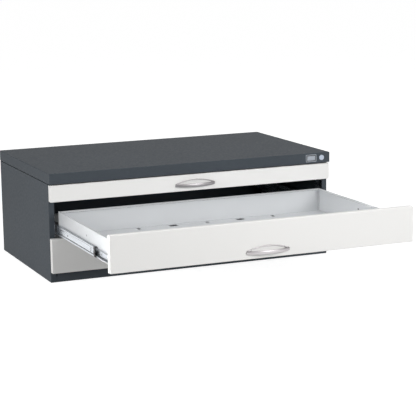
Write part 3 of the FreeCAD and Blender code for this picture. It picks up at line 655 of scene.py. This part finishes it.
def superellipse(half_u, half_v, power, count=20):
    """A rounded closed section."""
    points = []
    for index in range(count):
        angle = 2 * math.pi * index / count
        u = math.copysign(abs(math.cos(angle)) ** (2 / power), math.cos(angle)) * half_u
        v = math.copysign(abs(math.sin(angle)) ** (2 / power), math.sin(angle)) * half_v
        points.append((u, v))
    return points


HANDLE_HALF = 77.5 * MM
HANDLE_REACH = 25.5 * MM
HANDLE_DROP = 6.75 * MM
BAND_HALF = 6.6 * MM
BAND_THICK = 2.1 * MM
BAND_END_GAP = 2.2 * MM
RIB_TOP = 18.6 * MM
RIB_FOOT = 3.6 * MM
RIB_SHORTER = 1.5 * MM
RIB_OUT = 3.0 * MM
RIB_HALF_HIGH = 1.9 * MM
RIB_HALF_DEEP = 2.9 * MM
SCREW_OFFSET = 64 * MM
# Distance in front of the drawer and radius, in millimetres.
BOSS_PROFILE = [(0.1, 5.4), (2.0, 5.4), (5.0, 4.6), (7.5, 3.4)]


def handle_stations(half, steps):
    """X, bow (1 in the middle, 0 at the ends) and fullness (0 at the very ends) along the handle."""
    for step in range(steps + 1):
        share = -1 + 2 * step / steps
        x = half * math.sin(share * math.pi / 2)
        bow = 1 - (x / HANDLE_HALF) ** 2
        yield x, bow, math.sqrt(max(0.0, 1 - abs(share) ** 16))


def handle_band(bm):
    """The bowed grip band, broad in the middle and drawn in to its ends."""
    rings = []
    for x, bow, fullness in handle_stations(HANDLE_HALF, 44):
        y = -(BAND_END_GAP + (HANDLE_REACH - BAND_END_GAP - BAND_THICK) * bow)
        slope = -2 * x / HANDLE_HALF ** 2 * (HANDLE_REACH - BAND_THICK)
        tangent = Vector((1.0, -slope, 0.0)).normalized()
        across = Vector((tangent.y, -tangent.x, 0.0))
        taper = 0.2 + 0.8 * fullness
        high = (BAND_HALF * (0.86 + 0.14 * bow)) * taper
        thick = (BAND_THICK * (0.85 + 0.15 * bow) + 0.7 * MM * (1 - bow)) * taper
        centre = Vector((x, y, 0.0))
        rings.append([centre + across * u + Vector((0, 0, v)) for u, v in superellipse(thick, high, 2.6)])
    skin_rings(bm, rings)


def handle_rib(bm):
    """The thin arched rib that lies on the front above the band."""
    rings = []
    for x, bow, fullness in handle_stations(HANDLE_HALF - RIB_SHORTER, 40):
        z = RIB_FOOT + (RIB_TOP - RIB_FOOT) * bow
        slope = -2 * x / HANDLE_HALF ** 2 * (RIB_TOP - RIB_FOOT)
        tangent = Vector((1.0, 0.0, slope)).normalized()
        up = Vector((-tangent.z, 0.0, tangent.x))
        taper = 0.3 + 0.7 * fullness
        section = superellipse(RIB_HALF_DEEP * taper, RIB_HALF_HIGH * taper, 2.3, 16)
        centre = Vector((x, -RIB_OUT, z))
        rings.append([centre + up * v + Vector((0, u, 0)) for u, v in section])
    skin_rings(bm, rings)


def handle_bosses(bm):
    """The two screw bosses behind the band."""
    for side in (-1, 1):
        rings = []
        for out, radius in BOSS_PROFILE:
            outline = circle((side * SCREW_OFFSET, 0.0), radius * MM, 20)
            rings.append([(x, -out * MM, z) for x, z in outline])
        skin_rings(bm, rings)


def make_handle_mesh():
    """One cast body: band, rib and bosses melted together."""
    bm = bmesh.new()
    handle_band(bm)
    handle_rib(bm)
    handle_bosses(bm)
    cast = object_from(bm, "cast")
    melt = cast.modifiers.new("melt", "REMESH")
    melt.mode = "VOXEL"
    melt.voxel_size = 0.75 * MM
    ease = cast.modifiers.new("ease", "SMOOTH")
    ease.factor = 0.6
    ease.iterations = 5
    settle(cast)
    mesh = cast.data
    bpy.data.objects.remove(cast)
    return mesh


def make_handles():
    """The same handle on each drawer's front."""
    mesh = make_handle_mesh()
    for drawer in DRAWERS:
        node = f"{drawer}_handle"
        low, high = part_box(node)
        thing = bpy.data.objects.new(f"{drawer}_grip", mesh.copy())
        thing.data.transform(Matrix.Translation((0.0, high.y, low.z + HANDLE_DROP)))
        bpy.context.scene.collection.objects.link(thing)
        dress(thing, "handle_satin", f"{drawer}_drawer", [node], angle=80.0)


# ---------------------------------------------------------------- slides


def member_sections():
    """Middle line and fold radius of each member: distance from the slide's back and height, in mm."""
    outer = [(8.4, 19.4), (8.4, 22.1), (0.6, 22.1), (0.6, -22.1), (8.4, -22.1), (8.4, -19.4)]
    middle = [
        (9.8, 14.2), (9.8, 16.8), (2.8, 16.8), (2.8, 11.6), (4.9, 9.4),
        (4.9, -9.4), (2.8, -11.6), (2.8, -16.8), (9.8, -16.8), (9.8, -14.2),
    ]
    inner = [(5.2, 14.0), (5.2, 11.6), (12.1, 11.6), (12.1, -11.6), (5.2, -11.6), (5.2, -14.0)]
    return {"outer": (outer, 1.5), "middle": (middle, 1.0), "inner": (inner, 1.1)}


# Round openings in each member's web: distance from its front end, height and radius, in millimetres.
MEMBER_HOLES = {
    "outer": [(120, 0.0, 3.2), (300, 0.0, 3.2)],
    "middle": [(26, 0.0, 2.8), (50, 3.0, 3.2), (52, -4.2, 2.4), (300, 0.0, 3.2)],
    "inner": [(150, 0.0, 3.2), (330, 0.0, 3.2)],
}
# Length of a middle member's front end that its plastic stop takes the place of.
STOP_BITE = 14 * MM
WEB_CUT = 1.5 * MM


def make_members(drawer):
    """The six telescopic members of one drawer."""
    bodies = {"outer": "cabinet", "middle": f"{drawer}_middle_members", "inner": f"{drawer}_drawer"}
    for part, (section, fold) in member_sections().items():
        for word, side in SIDES:
            node = f"{drawer}_{word}_{part}_member"
            low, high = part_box(node)
            outer_low, outer_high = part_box(f"{drawer}_{word}_outer_member")
            back = outer_low.x if side < 0 else outer_high.x
            centre_z = (low.z + high.z) / 2
            points = [(back - side * depth * MM, centre_z + height * MM) for depth, height in section]
            front = low.y + (STOP_BITE if part == "middle" else 0.0)
            bm = bmesh.new()
            sweep_sheet(bm, rounded(points, fold * MM, 4), SHEET, "y", front, high.y)
            member = object_from(bm, f"{drawer}_{word}_{part}_rail")
            web = back - side * section[len(section) // 2][0] * MM
            cutters = bmesh.new()
            for along, height, radius in MEMBER_HOLES[part]:
                outline = circle((low.y + along * MM, centre_z + height * MM), radius * MM, 20)
                plate(cutters, outline, "x", web - WEB_CUT, web + WEB_CUT)
            drill(member, cutters)
            dress(member, "zinc_steel", bodies[part], [node])


CAGE_SHEET = 0.6 * MM
CAGE_START = 3 * MM
# Middle line of the upper strip, a ball's depth, height and radius, all in mm, and balls in a row.
CAGES = {
    "inner": {"section": [(4.0, 12.4), (4.0, 14.9), (9.0, 14.9)], "ball": (7.5, 14.2, 1.5), "count": 7},
    "outer": {"section": [(1.9, 18.2), (1.9, 19.5), (7.0, 19.5)], "ball": (4.5, 19.45, 1.7), "count": 5},
}


def add_ball(bm, centre, radius):
    """One bearing ball."""
    grown = bmesh.ops.create_icosphere(bm, subdivisions=2, radius=radius)
    bmesh.ops.translate(bm, verts=grown["verts"], vec=centre)


def make_cages(drawer):
    """Ball cages: a folded strip above and below, with a row of bright balls in each."""
    for part, shape in CAGES.items():
        node = f"{drawer}_{part}_ball_cages"
        low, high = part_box(node)
        strips = bmesh.new()
        balls = bmesh.new()
        for word, side in SIDES:
            outer_low, outer_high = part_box(f"{drawer}_{word}_outer_member")
            back = outer_low.x if side < 0 else outer_high.x
            centre_z = (outer_low.z + outer_high.z) / 2
            for up in (-1, 1):
                points = [(back - side * d * MM, centre_z + up * h * MM) for d, h in shape["section"]]
                path = rounded(points, CAGE_SHEET, 3)
                sweep_sheet(strips, path, CAGE_SHEET, "y", low.y + CAGE_START, high.y)
                depth, height, radius = shape["ball"]
                for index in range(shape["count"]):
                    y = low.y + (high.y - low.y) * (index + 1) / (shape["count"] + 1)
                    place = (back - side * depth * MM, y, centre_z + up * height * MM)
                    add_ball(balls, place, radius * MM)
        body = f"{drawer}_{part}_cages"
        dress(object_from(strips, f"{drawer}_{part}_cage_strips"), "black_plastic", body, [node])
        dress(object_from(balls, f"{drawer}_{part}_balls"), "screw_steel", body, finish="ball_steel")


STOP_LENGTH = 20 * MM
STOP_THICK = 1.3 * MM
STOP_ARM_HEIGHT = 16.4 * MM
STOP_ARM_HALF = 0.9 * MM
# Distance behind the member's front end and height from its middle, in millimetres.
STOP_OUTLINE = [
    (0.0, 17.0), (0.0, 12.6), (6.6, 11.0), (6.6, 7.6), (0.6, 5.6), (0.6, 0.8), (7.6, -1.4), (7.6, -6.0),
    (0.4, -8.2), (0.4, -12.4), (3.6, -14.0), (3.6, -17.0), (17.0, -17.0), (17.0, -12.0), (14.0, -10.2),
    (19.6, -7.4), (19.6, -2.4), (14.0, 0.4), (14.0, 5.0), (19.6, 7.2), (19.6, 12.0), (16.4, 13.4),
    (16.4, 17.0),
]


def make_stops(drawer):
    """Plastic stops on the front ends of the middle members: a toothed plate between two arms."""
    for word, side in SIDES:
        low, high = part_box(f"{drawer}_{word}_middle_member")
        centre_z = (low.z + high.z) / 2
        outline = [(low.y + y * MM, centre_z + z * MM) for y, z in STOP_OUTLINE]
        outer = low.x if side < 0 else high.x
        bm = bmesh.new()
        plate(bm, outline, "x", *sorted((outer, outer - side * STOP_THICK)))
        arm = rounded_rectangle(STOP_LENGTH / 2, STOP_ARM_HALF, 0.4 * MM)
        arm_ends = sorted((outer - side * 1.2 * MM, outer - side * 7.8 * MM))
        for up in (-1, 1):
            place = (low.y + STOP_LENGTH / 2, centre_z + up * STOP_ARM_HEIGHT)
            plate(bm, shifted(arm, *place), "x", *arm_ends)
        dress(object_from(bm, f"{drawer}_{word}_stop"), "black_plastic", f"{drawer}_middle_members")


GUARD_THICK = 1.5 * MM
GUARD_BLOCK_HALF = (5.0 * MM, 3.2 * MM)
GUARD_BLOCK_DEPTH = 5.6 * MM
GUARD_BLOCK_HEIGHT = 20.8 * MM
GUARD_WEB_HALF = (0.4 * MM, 17 * MM)
GUARD_WEB_DEPTH = 1.3 * MM
GUARD_WEB_LENGTH = 20 * MM


def make_guard(drawer, word, side):
    """Plastic guard on the front end of a cabinet member: two blocks joined by a thin web."""
    low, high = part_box(f"{drawer}_{word}_outer_member")
    back = low.x if side < 0 else high.x
    centre_z = (low.z + high.z) / 2
    front = low.y - GUARD_THICK
    bm = bmesh.new()
    block = rounded_rectangle(*GUARD_BLOCK_HALF, 0.8 * MM)
    for up in (-1, 1):
        place = (back - side * GUARD_BLOCK_DEPTH, centre_z + up * GUARD_BLOCK_HEIGHT)
        plate(bm, shifted(block, *place), "y", front, low.y + 0.2 * MM, 0.2 * MM)
    web = rounded_rectangle(*GUARD_WEB_HALF, 0.2 * MM)
    place = (back - side * GUARD_WEB_DEPTH, centre_z)
    plate(bm, shifted(web, *place), "y", front, low.y + GUARD_WEB_LENGTH)
    dress(object_from(bm, f"{drawer}_{word}_guard"), "black_plastic", "cabinet")


# ---------------------------------------------------------------- screws


def loose_parts(thing):
    """The box of each connected patch in an object's mesh."""
    mesh = thing.data
    parent = list(range(len(mesh.vertices)))

    def root(index):
        while parent[index] != index:
            parent[index] = parent[parent[index]]
            index = parent[index]
        return index

    for edge in mesh.edges:
        first, second = (root(index) for index in edge.vertices)
        parent[first] = second
    patches = {}
    for vertex in mesh.vertices:
        patches.setdefault(root(vertex.index), []).append(vertex.co)
    for points in patches.values():
        low = Vector(min(p[axis] for p in points) for axis in range(3))
        high = Vector(max(p[axis] for p in points) for axis in range(3))
        yield (low + high) / 2, high - low


HEAD_RADIUS = 3.5 * MM
SHANK_RADIUS = 1.7 * MM
NEAR = 0.1 * MM


def screw_places(node):
    """Centre of each screw's head, outward direction, head depth and shank length."""
    heads = []
    shanks = []
    for centre, size in loose_parts(frame["nodes"][node]):
        spans = sorted(size)
        if spans[0] < NEAR:
            continue
        if all(abs(span - 2 * HEAD_RADIUS) < NEAR for span in spans[1:]):
            heads.append((centre, spans[0]))
        else:
            shanks.append((centre, size))
    for head, depth in heads:
        shank, size = min(shanks, key=lambda entry: (entry[0] - head).length)
        out = (head - shank).normalized()
        yield head, out, depth, max(abs(out[axis]) * size[axis] for axis in range(3))


def add_screw(bm, head, out, depth, length):
    """A low pan head with a six-point recess, on a plain shank."""
    turn = out.to_track_quat("Z", "Y").to_matrix()
    # Radius, height from the head's middle, and whether the ring has the recess's six points.
    profile = [
        (SHANK_RADIUS, -length - depth / 2, False), (SHANK_RADIUS, -depth / 2, False),
        (HEAD_RADIUS - 0.1 * MM, -depth / 2, False), (HEAD_RADIUS, -depth / 4, False),
        (HEAD_RADIUS - 0.1 * MM, 0.0, False), (HEAD_RADIUS - 0.6 * MM, depth * 0.3, False),
        (HEAD_RADIUS - 1.4 * MM, depth / 2, False), (1.45 * MM, depth / 2, True),
        (1.3 * MM, 0.1 * MM, True), (0.4 * MM, 0.0, False),
    ]
    rings = []
    for radius, along, starred in profile:
        ring = []
        for index in range(24):
            angle = 2 * math.pi * index / 24
            reach = radius * (1 + 0.16 * math.cos(6 * angle)) if starred else radius
            ring.append(head + turn @ Vector((reach * math.cos(angle), reach * math.sin(angle), along)))
        rings.append(ring)
    skin_rings(bm, rings)


def make_screws():
    """Screws of the body and of each drawer."""
    owners = {"body_screws": "cabinet"}
    for drawer in DRAWERS:
        owners[f"{drawer}_drawer_screws"] = f"{drawer}_drawer"
    for node, body in owners.items():
        bm = bmesh.new()
        for place in screw_places(node):
            add_screw(bm, *place)
        dress(object_from(bm, f"{node}_detailed"), "screw_steel", body, [node])


# ---------------------------------------------------------------- kept CAD nodes


def paint_kept_nodes():
    """Nodes whose CAD shape is right get their material only."""
    slots = {row["node"]: row["material_slot"] for row in frame["record"]["subparts"]}
    for node, thing in frame["nodes"].items():
        thing.data.materials.clear()
        thing.data.materials.append(MATERIALS[slots[node]])


# ---------------------------------------------------------------- stage


FLOOR_HALF = 30.0
FLOOR_GAP = 0.5 * MM
FLOOR_GLOW = 0.84
ROOM_GLOW = 0.29
SOFT_BOXES = {
    "key": {"place": (1.0, -3.5, 1.25), "target": (0.15, -0.6, 0.2), "size": (2.0, 1.2), "power": 68.0},
    "side": {"place": (-2.9, -1.0, 0.8), "target": (-0.5, -0.4, 0.15), "size": (1.0, 0.8), "power": 38.0},
    "tray": {
        "place": (-2.4, -0.93, 0.5), "target": (0.3, -0.93, 0.21), "size": (0.5, 0.3), "power": 0.75,
        "spread": 24,
    },
    "top": {"place": (0.3, -0.8, 3.4), "target": (0.1, -0.3, 0.2), "size": (2.0, 1.2), "power": 34.0},
    "back": {"place": (3.4, 6.0, 1.7), "target": (0.3, -0.4, 0.2), "size": (7.0, 2.2), "power": 50.0},
}


def make_stage():
    """Plain pale floor, which glows a little so that the whole ground is white."""
    signs = ((-1, -1), (1, -1), (1, 1), (-1, 1))
    bm = bmesh.new()
    bm.faces.new([bm.verts.new((x * FLOOR_HALF, y * FLOOR_HALF, -FLOOR_GAP)) for x, y in signs])
    floor = object_from(bm, "floor")
    pale = Shader("pale_floor", (0.5, 0.5, 0.5), 0.0, 0.9)
    pale.surface.inputs["Emission Color"].default_value = (1.0, 1.0, 1.0, 1.0)
    pale.surface.inputs["Emission Strength"].default_value = FLOOR_GLOW
    floor.data.materials.append(pale.material)
    floor.visible_diffuse = False


def make_area_light(name, place, target, size, power, spread=180):
    """A soft box aimed at a target. A spread under 180 degrees is a grid in front of it."""
    data = bpy.data.lights.new(name, "AREA")
    data.shape = "RECTANGLE"
    data.size, data.size_y = size
    data.energy = power
    data.spread = math.radians(spread)
    light = bpy.data.objects.new(name, data)
    light.location = place
    light.rotation_mode = "QUATERNION"
    light.rotation_quaternion = (Vector(target) - Vector(place)).to_track_quat("-Z", "Y")
    light.visible_camera = False
    bpy.context.scene.collection.objects.link(light)


def make_lights():
    """A white room with soft boxes round the cabinet."""
    world = bpy.data.worlds.new("studio")
    world.use_nodes = True
    background = world.node_tree.nodes["Background"]
    background.inputs["Color"].default_value = (1.0, 1.0, 1.0, 1.0)
    background.inputs["Strength"].default_value = ROOM_GLOW
    bpy.context.scene.world = world
    bpy.context.scene.view_settings.view_transform = "Standard"
    for name, box in SOFT_BOXES.items():
        make_area_light(name, **box)


make_camera()
paint_kept_nodes()
make_lid()
make_side_panels()
make_plinth()
make_label()
make_badge()
for drawer_name in DRAWERS:
    make_front(drawer_name)
    for side_word, side_sign in SIDES:
        make_tray_side(drawer_name, side_word, side_sign)
    make_tray_rear(drawer_name)
    make_members(drawer_name)
    make_cages(drawer_name)
    make_stops(drawer_name)
for drawer_name in DRAWERS:
    for side_word, side_sign in SIDES:
        make_guard(drawer_name, side_word, side_sign)
make_screws()
make_handles()
make_stage()
make_lights()

bpy.context.view_layer.update()
